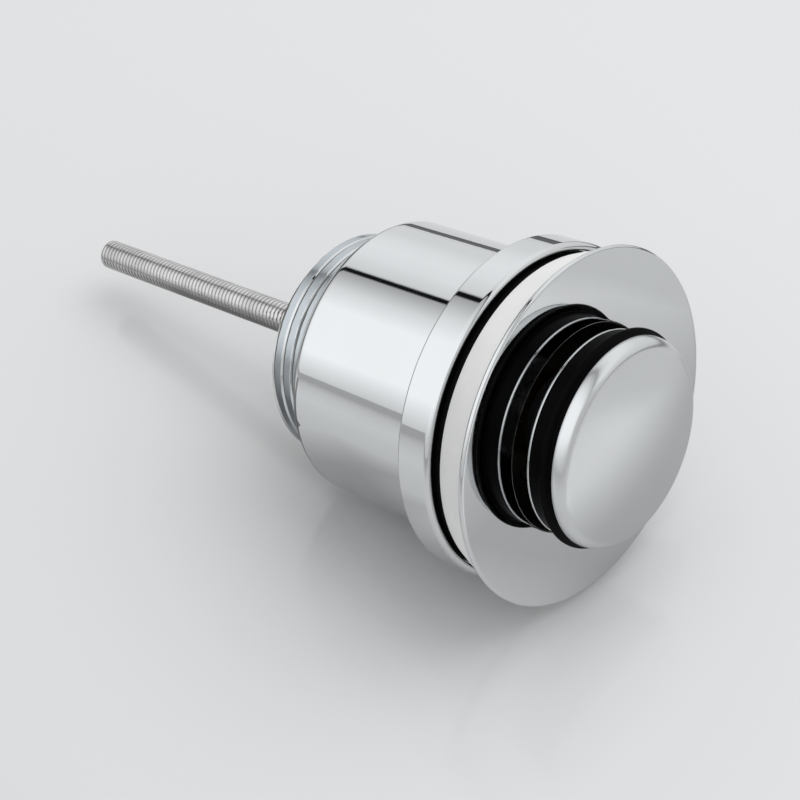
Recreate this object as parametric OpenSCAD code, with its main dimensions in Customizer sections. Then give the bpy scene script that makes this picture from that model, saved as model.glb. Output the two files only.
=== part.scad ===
// Pop up basin waste with a push cartridge and a screw-on lower body.
// Profiles are drawn as [radius, height] about the waste's own axis.
// Height 0 is the plane where a basin is clamped, between the two gaskets.
// The finished waste lies on its side: its axis is +X, with the plug at the +X end.

/* [Flange] */
// Outside diameter of the flange
flange_d = 63; // [60:0.5:68]
// Thickness of the flange lip at its edge
lip_t = 0.9; // [0.8:0.1:1.4]
// Fall of the dished face from the lip to the plug hole
dish_depth = 0.85; // [0.6:0.05:1.2]
// Inside diameter of the flange tube
tube_bore_d = 36.4; // [36.4:0.1:36.8]
// Wall thickness of the flange tube
tube_wall = 2.5; // [2:0.1:2.5]
// Length of the flange tube below the clamp plane
tube_length = 31; // [30:0.5:31]
// Number of arms of the flange spider
spider_arms = 3; // [3:1:4]

/* [Gaskets] */
// Height of the tapered gasket under the flange
flange_gasket_h = 6.5; // [5.5:0.5:8]
// Diameter of the flange gasket at its narrow end
flange_gasket_d = 57; // [54:0.5:58]
// Outside diameter of the body gasket
body_gasket_d = 56.4; // [54:0.2:56.4]
// Thickness of the body gasket
body_gasket_t = 3.4; // [2.4:0.2:3.6]

/* [Plug] */
// Diameter of the plug cap
cap_d = 36.6; // [35:0.2:38]
// Rise of the cap's dome above its rim
cap_rise = 3.6; // [3:0.05:4.2]
// Largest diameter of the plug seal
seal_d = 38.12; // [37.6:0.02:38.6]
// Travel of the plug from open to closed
plug_travel = 5.8; // [5.2:0.1:5.8]

/* [Lower body] */
// Diameter of the collar
collar_d = 59.8; // [58.6:0.2:62]
// Width of the collar along the axis
collar_w = 6.6; // [5:0.2:8]
// Diameter of the barrel
barrel_d = 51.4; // [49:0.2:52]
// Distance from the collar's front to the barrel's back
barrel_length = 36.3; // [36.3:0.1:38]
// Outside diameter of the outlet thread
outlet_d = 41.91; // [41.91]
// Length of the outlet thread
outlet_length = 9.8; // [9.4:0.1:14]
// Inside diameter of the outlet
outlet_bore_d = 35.6; // [34.6:0.2:36]

/* [Rod] */
// Outside diameter of the clamp rod
rod_d = 6; // [6]
// Distance from the clamp plane to the tip of the rod
rod_reach = 120.3; // [100:0.1:150]

/* [Hidden] */
$fn = 96;

// Gap between pieces that sit in each other and never move apart
seat_gap = 0.03;
// Gap between pieces that slide or turn in each other
running_gap = 0.05;

// Flange heights and radii
flange_r = flange_d / 2;
lip_z = flange_gasket_h + lip_t;
lip_edge_r = lip_t / 2;
lip_land = 0.9;
hole_z = lip_z - dish_depth;
tube_bore_r = tube_bore_d / 2;
tube_r = tube_bore_r + tube_wall;
hole_edge = 0.4;
neck_z = hole_z - 2.5;
slot_count = 3;
slot_w = 15;
slot_h = 7;
slot_z = -9;
slot_phase = 20;
spider_rise = 0.8;
spider_h = 3.4;
spider_w = 4;
spider_hub_r = 7.5;
spider_hub_h = 6;

// Cartridge heights, from the spider upwards
shank_r = 5;
hub_top = spider_hub_h - tube_length;
base_shoulder_h = 2.5;
base_spigot_h = 2.5;
sleeve_foot = hub_top + base_shoulder_h;
spring_foot = sleeve_foot + base_spigot_h;
sleeve_r = 8;
sleeve_bore_r = 6.9;
sleeve_top = 1;
bush_head_h = 1.6;
bush_head_r = sleeve_r + 0.5;
bush_spigot_h = 2.5;
bush_foot = sleeve_top - bush_spigot_h;
insert_r = sleeve_bore_r - running_gap;
nut_h = 4;
shank_foot = -tube_length - nut_h;
m10_across_flats = 16;
m6_across_flats = 10;
lock_nut_h = 3;

// Push mechanism: lugs on the plunger and the rotor run between ribs in the cam sleeve
stem_r = 3;
pin_r = 2;
rib_count = 4;
rib_w = 1.85;
rib_bore_r = 4;
cam_bore_r = 5.3;
lug_w = 1.45;
lug_r = 5;
core_r = 3.6;
index_angle = 180 / rib_count;
ramp = 1.8;
latch_gap = 0.3;
plunger_top = bush_foot - latch_gap;
plunger_h = 2.1;
crown_teeth = 8;
crown_h = 1;
crown_tip = plunger_top - plunger_h - crown_h;
rotor_top = crown_tip - latch_gap;
rotor_foot = rotor_top - 3.4;
latch_z = rotor_top - plug_travel + latch_gap;
clip_t = 0.6;
clip_r = 2.8;
clip_gap = 0.1;
clip_groove_r = 1.6;
pin_foot = rotor_foot - 1.8;

// Return spring
wire_d = 0.8;
spring_mean_r = 3.4;
spring_turns = 6;
rings_per_turn = 12;
wire_sides = 8;

// Plug heights
seal_foot = lip_z + 2.25;
cap_foot = lip_z + 7;
cap_r = cap_d / 2;
cap_rim_h = 0.3;
cap_edge_r = 2.2;
cap_edge_turn = 80;
cap_foot_bevel = 0.2;
seal_r = seal_d / 2;
seal_bore_r = 14;
seal_lip_gap = 0.15;
carrier_lip_r = 18;
carrier_lip_h = 0.45;
carrier_hollow_r = 10;
boss_r = 5;
boss_h = 2;
stem_top = cap_foot - 0.4;

// Lower body heights and radii
recess_depth = 2;
collar_front = recess_depth - body_gasket_t;
recess_floor = collar_front - recess_depth;
collar_r = collar_d / 2;
collar_edge_r = 1;
collar_back = collar_front - collar_w;
recess_r = body_gasket_d / 2 + 0.4;
body_bore_r = 21.5;
barrel_r = barrel_d / 2;
barrel_back = collar_front - barrel_length;
barrel_edge_r = 2;
outlet_r = outlet_d / 2;
outlet_bore_r = outlet_bore_d / 2;
outlet_end = barrel_back - outlet_length;
outlet_bevel = 0.3;
bore_step = barrel_back + 4.2;
bridge_arms = 3;
bridge_w = 4.4;
bridge_h = 5;
bridge_hub_r = 8.5;
bridge_hub_h = 7;
bridge_foot = outlet_end + 2;
clamp_nut_h = 5;
rod_r = rod_d / 2;
rod_top = hub_top - 1;
rod_bevel = 0.7;

// Points of an arc about [cx, cy] from angle a0 to angle a1
function arc(cx, cy, r, a0, a1, steps = 6) =
    [for (i = [0 : steps]) let (a = a0 + (a1 - a0) * i / steps) [cx + r * cos(a), cy + r * sin(a)]];

// Lays a piece that is drawn upright on its side, with its top towards +X
module lay() {
    rotate([0, 90, 0]) children();
}

// Turns a profile of [radius, height] points about the waste's axis
module turned(points) {
    rotate_extrude() polygon(points);
}

// Plain tube or ring between two heights
module pipe(r_out, r_in, foot, top) {
    turned([[r_in, foot], [r_out, foot], [r_out, top], [r_in, top]]);
}

// Round bar between two heights
module bar(r, foot, top) {
    translate([0, 0, foot]) cylinder(r = r, h = top - foot);
}

// Six sided prism of a given size across its flats
module hex_bar(across_flats, foot, top) {
    translate([0, 0, foot]) cylinder(r = across_flats / 2 / cos(30), h = top - foot, $fn = 6);
}

// Nut with bevelled corners on both faces
module hex_nut(across_flats, bore_r, foot, top) {
    corner_r = across_flats / 2 / cos(30);
    fall = (corner_r - across_flats / 2) / 2;
    difference() {
        intersection() {
            hex_bar(across_flats, foot, top);
            turned([
                [0, foot], [across_flats / 2, foot], [corner_r, foot + fall],
                [corner_r, top - fall], [across_flats / 2, top], [0, top]
            ]);
        }
        bar(bore_r, foot - 1, top + 1);
    }
}

// Arms that join a hub to the wall around it
module arms(count, width, r_in, r_out, foot, height) {
    for (i = [0 : count - 1])
        rotate([0, 0, 360 / count * i])
            translate([r_in, -width / 2, foot])
                cube([r_out - r_in, width, height]);
}

// Window with round ends through a tube wall
module overflow_slot() {
    half_run = (slot_w - slot_h) / 2;
    translate([tube_bore_r - 2, 0, slot_z])
        rotate([90, 0, 90])
            linear_extrude(tube_wall + 4)
                polygon(concat(
                    arc(half_run, 0, slot_h / 2, -90, 90),
                    arc(-half_run, 0, slot_h / 2, 90, 270)
                ));
}

// Outline across the face, carried outwards from r_in and trimmed to r_out
module radial_key(outline, r_in, r_out) {
    intersection() {
        rotate([90, 0, 90]) linear_extrude(r_out + 1) polygon(outline);
        pipe(r_out, r_in, -tube_length, lip_z);
    }
}

module flange() {
    color("silver") lay() {
        difference() {
            turned(concat(
                arc(flange_r - lip_edge_r, lip_z - lip_edge_r, lip_edge_r, -90, 90),
                [
                    [tube_bore_r + hole_edge, hole_z],
                    [tube_bore_r, hole_z - hole_edge],
                    [tube_bore_r, -tube_length],
                    [tube_r, -tube_length],
                    [tube_r, neck_z],
                    [flange_r - lip_land, flange_gasket_h]
                ]
            ));
            for (i = [0 : slot_count - 1])
                rotate([0, 0, slot_phase + 360 / slot_count * i]) overflow_slot();
        }
        difference() {
            union() {
                arms(
                    spider_arms, spider_w, spider_hub_r - 1, tube_bore_r + 1,
                    spider_rise - tube_length, spider_h
                );
                bar(spider_hub_r, -tube_length, hub_top);
            }
            bar(shank_r + seat_gap, -tube_length - 1, hub_top + 1);
        }
    }
}

module flange_gasket() {
    slope = (flange_gasket_h - neck_z) / (flange_r - lip_land - tube_r);
    bore_r = tube_r + 0.2;
    gasket_top = flange_gasket_h - seat_gap;
    color("whitesmoke") lay() turned([
        [bore_r, 0],
        [flange_gasket_d / 2, 0],
        [flange_r - lip_edge_r, gasket_top],
        [flange_r - lip_land, gasket_top],
        [bore_r, neck_z + slope * (bore_r - tube_r) - seat_gap]
    ]);
}

module cartridge_sleeve() {
    color("goldenrod") lay() pipe(sleeve_r, sleeve_bore_r, sleeve_foot, sleeve_top);
}

// Guide bush with a groove inside for the ring that wipes the stem
module cartridge_bush() {
    groove_r = stem_r + 1.7;
    groove_foot = sleeve_top - 0.8;
    groove_top = sleeve_top + 0.8;
    bore_r = stem_r + running_gap;
    head_top = sleeve_top + bush_head_h;
    color("dimgray") lay() turned([
        [bore_r, bush_foot],
        [insert_r, bush_foot],
        [insert_r, sleeve_top],
        [bush_head_r, sleeve_top],
        [bush_head_r, head_top - 0.5],
        [bush_head_r - 0.5, head_top],
        [bore_r, head_top],
        [bore_r, groove_top],
        [groove_r, groove_top],
        [groove_r, groove_foot],
        [bore_r, groove_foot]
    ]);
}

module stem_o_ring() {
    ring_r = 0.75;
    color("black") lay()
        translate([0, 0, sleeve_top])
            rotate_extrude() translate([stem_r + running_gap + ring_r, 0]) circle(r = ring_r, $fn = 32);
}

// Sleeve whose ribs end in the ramps that turn and catch the rotor
module cam_sleeve() {
    near = latch_z + ramp * (rib_w - lug_w) / 2;
    far = near - ramp * rib_w;
    color("ivory") lay() {
        pipe(insert_r, cam_bore_r, spring_foot, bush_foot);
        for (i = [0 : rib_count - 1])
            rotate([0, 0, index_angle + 360 / rib_count * i])
                radial_key(
                    [[-rib_w / 2, near], [rib_w / 2, far], [rib_w / 2, bush_foot], [-rib_w / 2, bush_foot]],
                    rib_bore_r, cam_bore_r + 0.5
                );
    }
}

module cartridge_base() {
    color("goldenrod") lay() difference() {
        union() {
            bar(shank_r, shank_foot, hub_top);
            bar(sleeve_r, hub_top, sleeve_foot);
            bar(insert_r, sleeve_foot, spring_foot);
        }
        bar(rod_r + seat_gap, shank_foot - 1, rod_top);
    }
}

module cartridge_nut() {
    color("goldenrod") lay() hex_nut(m10_across_flats, shank_r + seat_gap, shank_foot, -tube_length);
}

// Coil of round wire: each ring of points is square to the radius of its turn
module return_spring() {
    foot = spring_foot + wire_d / 2;
    top = rotor_foot - wire_d / 2;
    last = spring_turns * rings_per_turn;
    function side_angle(k) = 360 / wire_sides * k;
    function rise(i) = foot + (top - foot) * (0.5 - 0.5 * cos(180 * i / last)) * 0.25
        + (top - foot) * 0.75 * i / last;
    function around(i, k) = spring_mean_r + wire_d / 2 * cos(side_angle(k));
    points = [
        for (i = [0 : last], k = [0 : wire_sides - 1])
            [
                around(i, k) * cos(360 * i / rings_per_turn),
                around(i, k) * sin(360 * i / rings_per_turn),
                rise(i) + wire_d / 2 * sin(side_angle(k))
            ]
    ];
    sides = [
        for (i = [0 : last - 1], k = [0 : wire_sides - 1])
            let (a = i * wire_sides + k, b = i * wire_sides + (k + 1) % wire_sides)
                [a, a + wire_sides, b + wire_sides, b]
    ];
    ends = [
        [for (k = [0 : wire_sides - 1]) k],
        [for (k = [wire_sides - 1 : -1 : 0]) last * wire_sides + k]
    ];
    color("gray") lay() polyhedron(points, concat(sides, ends));
}

module clamp_rod() {
    color("darkgray") lay() turned([
        [0, -rod_reach],
        [rod_r - rod_bevel, -rod_reach],
        [rod_r, rod_bevel - rod_reach],
        [rod_r, rod_top],
        [0, rod_top]
    ]);
}

module rod_lock_nut() {
    color("darkgray") lay()
        hex_nut(m6_across_flats, rod_r + seat_gap, shank_foot - lock_nut_h, shank_foot);
}

// Domed cap with a threaded boss that takes the stem
module plug_cap() {
    rim_top = cap_foot + cap_rim_h;
    edge_r = cap_r - cap_edge_r;
    dome_rise = cap_rise - cap_edge_r * sin(cap_edge_turn);
    dome_base = edge_r + cap_edge_r * cos(cap_edge_turn);
    dome_r = (dome_base * dome_base + dome_rise * dome_rise) / 2 / dome_rise;
    dome_top = rim_top + cap_rise;
    dome_half = asin(dome_base / dome_r);
    color("silver") lay() difference() {
        union() {
            turned(concat(
                [[0, cap_foot], [cap_r - cap_foot_bevel, cap_foot], [cap_r, cap_foot + cap_foot_bevel]],
                arc(edge_r, rim_top, cap_edge_r, 0, cap_edge_turn),
                arc(0, dome_top - dome_r, dome_r, 90 - dome_half, 90, 8)
            ));
            bar(boss_r, cap_foot - boss_h, cap_foot + cap_rim_h);
        }
        bar(stem_r + seat_gap, cap_foot - boss_h - 1, stem_top);
    }
}

// Rubber ring: a lip that lands on the dish round the hole, with a shallow groove above it
module plug_seal() {
    foot_r = tube_bore_r - 0.3;
    lip_under = hole_z + plug_travel + seal_lip_gap;
    lip_top = lip_under + 0.75;
    shoulder_r = cap_r - 0.35;
    color([0.08, 0.08, 0.08]) lay() turned([
        [seal_bore_r, seal_foot],
        [foot_r, seal_foot],
        [foot_r, lip_under],
        [seal_r - 0.15, lip_under],
        [seal_r, lip_under + 0.15],
        [seal_r, lip_top - 0.3],
        [shoulder_r, lip_top + 0.3],
        [shoulder_r, cap_foot],
        [seal_bore_r, cap_foot]
    ]);
}

// Plated disc under the seal, whose thin edge shows as a bright line
module plug_carrier() {
    color("silver") lay() turned([
        [stem_r + seat_gap, seal_foot + 0.7],
        [carrier_hollow_r, seal_foot + 0.7],
        [carrier_hollow_r + 1, seal_foot - carrier_lip_h],
        [carrier_lip_r - 0.15, seal_foot - carrier_lip_h],
        [carrier_lip_r, seal_foot - carrier_lip_h + 0.15],
        [carrier_lip_r, seal_foot],
        [seal_bore_r - seat_gap, seal_foot],
        [seal_bore_r - seat_gap, cap_foot],
        [boss_r + seat_gap, cap_foot],
        [boss_r + seat_gap, cap_foot - boss_h],
        [stem_r + seat_gap, cap_foot - boss_h]
    ]);
}

// Stem with a thin pin below its shoulder and a groove for the clip
module plug_stem() {
    groove_top = rotor_foot - clip_gap;
    color("darkgray") lay() turned([
        [0, pin_foot],
        [pin_r - 0.3, pin_foot],
        [pin_r, pin_foot + 0.3],
        [pin_r, groove_top - clip_t],
        [clip_groove_r, groove_top - clip_t],
        [clip_groove_r, groove_top],
        [pin_r, groove_top],
        [pin_r, plunger_top],
        [stem_r, plunger_top],
        [stem_r, stem_top],
        [0, stem_top]
    ]);
}

// Pusher on the stem: guide lugs outside and a crown of slanted teeth below
module plunger() {
    root_z = plunger_top - plunger_h;
    tooth_w = 2 * core_r * sin(180 / crown_teeth) - 0.2;
    color("ivory") lay() difference() {
        union() {
            bar(core_r, root_z, plunger_top);
            for (i = [0 : rib_count - 1])
                rotate([0, 0, 360 / rib_count * i])
                    radial_key(
                        [
                            [-lug_w / 2, root_z], [lug_w / 2, root_z],
                            [lug_w / 2, plunger_top], [-lug_w / 2, plunger_top]
                        ],
                        core_r - 0.5, lug_r
                    );
            for (i = [0 : crown_teeth - 1])
                rotate([0, 0, 360 / crown_teeth * i])
                    radial_key(
                        [
                            [-tooth_w / 2, root_z - 0.1], [tooth_w / 2, crown_tip],
                            [tooth_w / 2, root_z + 0.5], [-tooth_w / 2, root_z + 0.5]
                        ],
                        pin_r, core_r
                    );
        }
        bar(pin_r + seat_gap, crown_tip - 1, plunger_top + 1);
    }
}

// Open ring that snaps into the groove of the stem
module stem_clip() {
    top = rotor_foot - clip_gap;
    opening = 2 * clip_groove_r - 0.4;
    color("gray") lay() difference() {
        pipe(clip_r, clip_groove_r + seat_gap, top - clip_t, top);
        translate([0, -opening / 2, top - clip_t - 1]) cube([clip_r + 1, opening, clip_t + 2]);
    }
}

// Ring with ramped lugs that climb the cam sleeve and catch under its ribs
module rotor() {
    core_top = rotor_top - 0.4;
    color("ivory") lay() difference() {
        union() {
            bar(core_r, rotor_foot, core_top);
            for (i = [0 : rib_count - 1])
                rotate([0, 0, 360 / rib_count * i])
                    radial_key(
                        [
                            [-lug_w / 2, rotor_foot], [lug_w / 2, rotor_foot],
                            [lug_w / 2, rotor_top - ramp * lug_w], [-lug_w / 2, rotor_top]
                        ],
                        core_r - 0.5, lug_r
                    );
        }
        bar(pin_r + running_gap, rotor_foot - 1, rotor_top + 1);
    }
}

module body_gasket() {
    gasket_r = body_gasket_d / 2;
    bevel = 0.4;
    color([0.06, 0.06, 0.06]) lay() turned([
        [tube_r + 0.4, -body_gasket_t],
        [gasket_r, -body_gasket_t],
        [gasket_r, -bevel],
        [gasket_r - bevel, 0],
        [tube_r + 0.4, 0]
    ]);
}

// Collar, barrel and outlet in one casting, with a bridge inside for the clamp nut
module lower_body() {
    color("silver") lay() {
        turned(concat(
            [
                [recess_r, collar_front],
                [recess_r, recess_floor],
                [body_bore_r, recess_floor],
                [body_bore_r, bore_step],
                [outlet_bore_r, bore_step - body_bore_r + outlet_bore_r],
                [outlet_bore_r, outlet_end],
                [outlet_r - outlet_bevel, outlet_end],
                [outlet_r, outlet_end + outlet_bevel],
                [outlet_r, barrel_back]
            ],
            arc(barrel_r - barrel_edge_r, barrel_back + barrel_edge_r, barrel_edge_r, -90, 0),
            [
                [barrel_r, collar_back]
            ],
            arc(collar_r - collar_edge_r, collar_back + collar_edge_r, collar_edge_r, -90, 0),
            arc(collar_r - collar_edge_r, collar_front - collar_edge_r, collar_edge_r, 0, 90)
        ));
        difference() {
            union() {
                arms(bridge_arms, bridge_w, bridge_hub_r - 1, outlet_bore_r + 1, bridge_foot, bridge_h);
                bar(bridge_hub_r, bridge_foot, bridge_foot + bridge_hub_h);
            }
            hex_bar(m6_across_flats + 2 * seat_gap, bridge_foot - 1, bridge_foot + clamp_nut_h);
            bar(rod_r + 0.3, bridge_foot - 1, bridge_foot + bridge_hub_h + 1);
        }
    }
}

module clamp_nut() {
    color("darkgray") lay()
        hex_nut(m6_across_flats, rod_r + running_gap, bridge_foot, bridge_foot + clamp_nut_h);
}

flange();
flange_gasket();
cartridge_sleeve();
cartridge_bush();
stem_o_ring();
cam_sleeve();
cartridge_base();
cartridge_nut();
return_spring();
clamp_rod();
rod_lock_nut();
plug_cap();
plug_seal();
plug_carrier();
plug_stem();
plunger();
stem_clip();
rotor();
body_gasket();
lower_body();
clamp_nut();
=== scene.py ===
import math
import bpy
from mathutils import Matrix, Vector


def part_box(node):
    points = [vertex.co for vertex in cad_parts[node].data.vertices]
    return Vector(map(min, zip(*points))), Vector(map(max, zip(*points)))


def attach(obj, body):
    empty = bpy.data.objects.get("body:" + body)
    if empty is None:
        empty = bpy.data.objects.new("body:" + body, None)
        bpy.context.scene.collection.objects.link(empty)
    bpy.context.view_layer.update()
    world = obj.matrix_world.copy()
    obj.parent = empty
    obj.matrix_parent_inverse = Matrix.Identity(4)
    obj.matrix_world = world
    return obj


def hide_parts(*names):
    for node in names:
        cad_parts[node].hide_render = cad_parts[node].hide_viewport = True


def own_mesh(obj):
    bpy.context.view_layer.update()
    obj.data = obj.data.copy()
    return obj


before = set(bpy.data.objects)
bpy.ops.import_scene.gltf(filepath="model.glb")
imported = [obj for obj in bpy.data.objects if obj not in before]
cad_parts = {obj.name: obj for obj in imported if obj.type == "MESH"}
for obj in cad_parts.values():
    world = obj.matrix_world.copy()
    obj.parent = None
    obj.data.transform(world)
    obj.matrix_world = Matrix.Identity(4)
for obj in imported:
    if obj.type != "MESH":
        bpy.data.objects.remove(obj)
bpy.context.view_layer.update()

# Looks of the pop up basin waste: turned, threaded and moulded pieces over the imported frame.
# Shapes are worked out in millimetres about the waste's axis, X, and go into the meshes in metres.
from types import SimpleNamespace

import bpy
import numpy as np
from bpy.props import FloatProperty, FloatVectorProperty, IntProperty, PointerProperty
from mathutils import Matrix, Vector

bl_info = {
    "name": "Pop up basin waste",
    "version": (1, 0, 0),
    "blender": (4, 5, 0),
    "location": "View3D > Sidebar > Waste",
    "description": "Builds the visible pieces of a pop up basin waste and its studio",
    "category": "Object",
}

MM = 0.001
FULL_TURN = 2 * math.pi
# Places along a straight run where extra rings keep its shading flat
RUN_STEPS = np.array([0.02, 0.1, 0.3, 0.5, 0.7, 0.9, 0.98])
# Rings of a rounded corner and rows of a straight bar
ARC_STEPS = 9
BAR_ROWS = 7
# Edges that bend more than this show as sharp
SHARP_ANGLE = math.radians(32)
# Columns round the plug, a sleeve, a nut or hub, and the rod
PLUG_COLUMNS = 200
SLEEVE_COLUMNS = 128
NUT_COLUMNS = 96
ROD_COLUMNS = 32
# Slotted tube: rays on a side and on an end of a sector, rows from slot to edge, and how they crowd the slot
SLOT_SIDE_RAYS = 16
SLOT_END_RAYS = 32
SLOT_ROWS = 9
SLOT_CROWDING = 1.5
# Spring: rings in a turn, points round the wire, and how much the end turns close up
COIL_STEPS = 44
WIRE_POINTS = 14
COIL_CLOSING = 0.6
# Guards against dividing by nothing and against rounding
TINY = 1e-9
ROUNDING = 1e-6

# Sizes below are in millimetres
# Flange: depth of its web, flat land under the lip, rounding by the lip's thickness, foot of the dish's shell
FLANGE_WEB = 2.5
LIP_LAND = 0.9
LIP_ROUNDING = 0.49
DISH_FOOT = -3.0
# Arms of spider and bridge: how far they go into the hub and into the wall
ARM_INTO_HUB = 0.9
ARM_INTO_WALL = 0.6
ARM_COUNT = 3
ARM_PHASE = -90
SLOT_COUNT = 3
SLOT_PHASE = -70
# Spider of the flange: hub, its bore and length, and an arm's half length, half width and rounding
SPIDER_HUB = 7.5
SPIDER_BORE = 5.05
SPIDER_HUB_LENGTH = 6
SPIDER_ARM = (1.7, 2.0, 0.6)
SPIDER_ARM_RISE = 2.5
# Gaskets: gap to the tube, hollow under the flange, taper outside, land at the top, bore of the black ring
GASKET_GAP = 0.2
GASKET_HOLLOW = 2.44
GASKET_TAPER = 2.55
GASKET_LAND = 0.45
BODY_GASKET_BORE = 21.1
# Plug cap: rim below the edge, rounding of the edge and how far round it goes, and rings of crown and edge
CAP_RIM = 0.3
CAP_EDGE = 2.2
CAP_EDGE_TURN = math.radians(80)
CROWN_RINGS = 40
EDGE_RINGS = 16
CAP_SEAM = 0.05
# Plug seal: bore, gap to the tube, step under the cap, rise and height of its lip, and slope above the lip
SEAL_BORE = 14
SEAL_GAP = 0.3
SEAL_STEP = 0.35
SEAL_LIP_RISE = 2.85
SEAL_LIP = 0.75
SEAL_SLOPE = (0.2, 0.3)
# Plug carrier: gap to the seal, hollow and its sloping wall, and bores for the stem and the cap's boss
CARRIER_GAP = 0.03
CARRIER_HOLLOW = 10
CARRIER_WALL = 1
CARRIER_RISE = 0.7
STEM_BORE = 3.05
BOSS_BORE = 5.05
BOSS_DEPTH = 2
# Lower body: collar, recess for the gasket, bore and the place of its step above the barrel's back
COLLAR_WIDTH = 6.6
RECESS_RADIUS = 28.6
BODY_BORE = 21.5
BORE_STEP_RISE = 4.2
# Outlet thread: bevel, rings, plain run at its root, run-out, and depth of the groove over one pitch
OUTLET_BEVEL = 0.3
OUTLET_RINGS = 140
OUTLET_PLAIN_RUN = 0.15
OUTLET_RUN_OUT = (0.4, 0.8)
GROOVE_TURNS = [0.0, 0.22, 0.26, 0.36, 1.0]
GROOVE_DEPTHS = [0.0, 1.0, 1.0, 0.0, 0.0]
# Outlet finish: width of the bright crest, and where down the groove the painted shade starts and over what
# share
CREST_WIDTH = 0.06
PAINTED_ROOT_SHADE_START = 0.45
PAINTED_ROOT_SHADE_FADE = 0.2
# Margins that keep a finish or a thread off the faces next to it
THREAD_WALL = 1.2
FINISH_WALL = 0.5
FACE_MARGIN = 0.02
RADIUS_MARGIN = 0.01
BORE_MARGIN = 0.05
# Bridge in the outlet: place of its hub, pocket for the nut, bore, and an arm as for the spider
BRIDGE_RISE = 2.0
BRIDGE_HUB = 8.5
BRIDGE_HUB_LENGTH = 7.0
BRIDGE_POCKET = 6.1
BRIDGE_BORE = 3.2
BRIDGE_ARM = (2.5, 2.2, 0.7)
POCKET_GAP = 0.1
# Nuts: size across the flats and bore on the rod and on the cartridge's shank
ROD_NUT = (10.0, 3.03)
SHANK_NUT = (16.0, 5.03)
# Nut shape: radius of its face by the size across flats, slope of its bevels, rings on a flat, bore's edge
NUT_FACE = 0.475
NUT_BEVEL = math.radians(30)
NUT_RINGS = 3
NUT_BORE_EDGE = 0.25
# Only rings beyond this share of the flats are cut to a hexagon
HEXAGON_FROM = 0.8
# Rod: bevels of tip and head, rings in a pitch, and width of crest and flank by the pitch
ROD_TIP_BEVEL = 0.7
ROD_HEAD_BEVEL = 0.3
ROD_RINGS = 14
ROD_CREST = 0.6
ROD_FLANK = 0.3
# Cartridge: bore of its sleeve, wire of its spring and gap round the spring
SLEEVE_BORE = 6.9
SPRING_WIRE = 0.78
SPRING_GAP = 0.02


def end_of(node, axis=0):
    """Highest coordinate of a CAD node along an axis, in millimetres."""
    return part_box(node)[1][axis] / MM


def foot_of(node, axis=0):
    """Lowest coordinate of a CAD node along an axis, in millimetres."""
    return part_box(node)[0][axis] / MM


class WasteSizes(bpy.types.PropertyGroup):
    """Sizes that the frame's boxes don't give."""

    dish_fall: FloatProperty(
        name="Dish fall", description="Fall of the flange face from its lip to the plug hole",
        default=0.85 * MM, unit="LENGTH", precision=5)
    hole_edge: FloatProperty(
        name="Hole edge", description="Rounding of the edge of the plug hole",
        default=0.4 * MM, unit="LENGTH", precision=5)
    tube_radius: FloatProperty(
        name="Tube radius", description="Outside radius of the flange tube",
        default=20.7 * MM, unit="LENGTH", precision=5)
    tube_bore: FloatProperty(
        name="Tube bore", description="Inside radius of the flange tube",
        default=18.2 * MM, unit="LENGTH", precision=5)
    slot_length: FloatProperty(
        name="Slot length", description="Length of an overflow slot round the tube",
        default=15.0 * MM, unit="LENGTH", precision=5)
    slot_height: FloatProperty(
        name="Slot height", description="Height of an overflow slot along the tube",
        default=7.0 * MM, unit="LENGTH", precision=5)
    slot_place: FloatProperty(
        name="Slot place", description="Middle of the overflow slots along the axis",
        default=-9.0 * MM, unit="LENGTH", precision=5)
    barrel_radius: FloatProperty(
        name="Barrel radius", description="Radius of the lower body's barrel",
        default=25.7 * MM, unit="LENGTH", precision=5)
    barrel_back: FloatProperty(
        name="Barrel back", description="Back face of the barrel along the axis",
        default=-37.7 * MM, unit="LENGTH", precision=5)
    outlet_radius: FloatProperty(
        name="Outlet radius", description="Crest radius of the outlet thread",
        default=20.955 * MM, unit="LENGTH", precision=5)
    outlet_bore: FloatProperty(
        name="Outlet bore", description="Inside radius of the outlet",
        default=17.8 * MM, unit="LENGTH", precision=5)
    outlet_pitch: FloatProperty(
        name="Outlet pitch", description="Pitch of the outlet's pipe thread",
        default=2.309 * MM, unit="LENGTH", precision=5)
    outlet_depth: FloatProperty(
        name="Outlet depth", description="Depth of the outlet's pipe thread",
        default=0.6 * MM, unit="LENGTH", precision=5)
    thread_phase: FloatProperty(
        name="Thread phase", description="Place along the axis where a groove of the outlet starts",
        default=-46.1 * MM, unit="LENGTH", precision=5)
    rod_pitch: FloatProperty(
        name="Rod pitch", description="Pitch of the clamp rod's thread",
        default=1.0 * MM, unit="LENGTH", precision=5)
    rod_depth: FloatProperty(
        name="Rod depth", description="Depth of the clamp rod's thread",
        default=0.2 * MM, unit="LENGTH", precision=5)
    spring_turns: FloatProperty(
        name="Spring turns", description="Turns of the return spring", default=6.0)
    around: IntProperty(
        name="Columns", description="Columns round a large turned piece", default=240)


def sizes_mm(context):
    """The sizes of the panel, with its lengths in millimetres."""
    group = context.scene.waste_sizes
    sizes = SimpleNamespace()
    for key in WasteSizes.__annotations__:
        value = getattr(group, key)
        is_length = group.bl_rna.properties[key].unit == "LENGTH"
        setattr(sizes, key, round(value / MM, 4) if is_length else value)
    return sizes


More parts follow.
